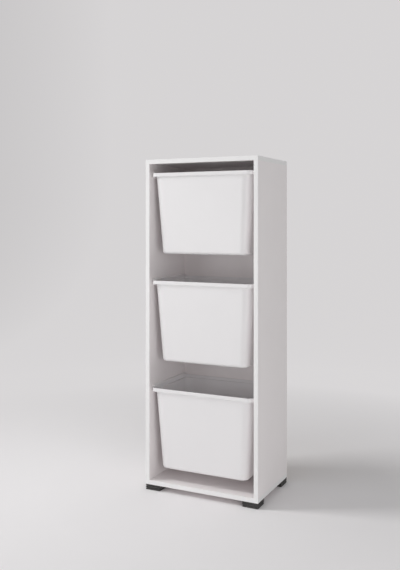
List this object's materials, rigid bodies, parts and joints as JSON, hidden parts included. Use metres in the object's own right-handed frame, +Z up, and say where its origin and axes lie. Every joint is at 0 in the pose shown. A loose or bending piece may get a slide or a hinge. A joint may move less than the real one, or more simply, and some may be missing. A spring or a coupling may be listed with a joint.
{
  "type": "drawer unit",
  "caption": "Tall open cabinet on low corner feet, with deep tapered bins that hang by their collars in channel runners and pull out to the front.",
  "frame": {"origin": "on the floor, under the middle of the unit", "axes": "+X to the unit's right, -Y to its open front, +Z up"},
  "size_m": [0.45, 0.3, 1.23],
  "materials": {
    "melamine_white": "satin melamine",
    "edge_band_white": "satin",
    "back_board": "satin lacquer",
    "bin_plastic": "satin",
    "runner_plastic": "satin",
    "foot_plastic": "satin",
    "cap_plastic": "satin",
    "screw_steel": "zinc plated",
    "dowel_wood": "raw beech"
  },
  "bodies": {
    "cabinet": {"top_panel": "melamine_white", "bottom_panel": "melamine_white", "left_side_panel": "melamine_white", "right_side_panel": "melamine_white", "back_panel": "back_board", "top_front_edge_band": "edge_band_white", "top_left_edge_band": "edge_band_white", "top_right_edge_band": "edge_band_white", "bottom_front_edge_band": "edge_band_white", "bottom_left_edge_band": "edge_band_white", "bottom_right_edge_band": "edge_band_white", "left_side_edge_band": "edge_band_white", "right_side_edge_band": "edge_band_white", "left_top_runner": "runner_plastic", "right_top_runner": "runner_plastic", "left_middle_runner": "runner_plastic", "right_middle_runner": "runner_plastic", "left_bottom_runner": "runner_plastic", "right_bottom_runner": "runner_plastic", "front_left_foot": "foot_plastic", "front_right_foot": "foot_plastic", "rear_left_foot": "foot_plastic", "rear_right_foot": "foot_plastic", "top_panel_screws": "screw_steel", "bottom_panel_screws": "screw_steel", "runner_screws": "screw_steel", "foot_screws": "screw_steel", "top_dowels": "dowel_wood", "bottom_dowels": "dowel_wood", "screw_cover_caps": "cap_plastic"},
    "top_bin": {"top_bin": "bin_plastic"},
    "middle_bin": {"middle_bin": "bin_plastic"},
    "bottom_bin": {"bottom_bin": "bin_plastic"}
  },
  "joints": [
    {"name": "top_bin_slide", "type": "slide", "parent": "cabinet", "child": "top_bin", "axis": [0, -1, 0], "range_m": [0, 0.25]},
    {"name": "middle_bin_slide", "type": "slide", "parent": "cabinet", "child": "middle_bin", "axis": [0, -1, 0], "range_m": [0, 0.25]},
    {"name": "bottom_bin_slide", "type": "slide", "parent": "cabinet", "child": "bottom_bin", "axis": [0, -1, 0], "range_m": [0, 0.25]}
  ]
}
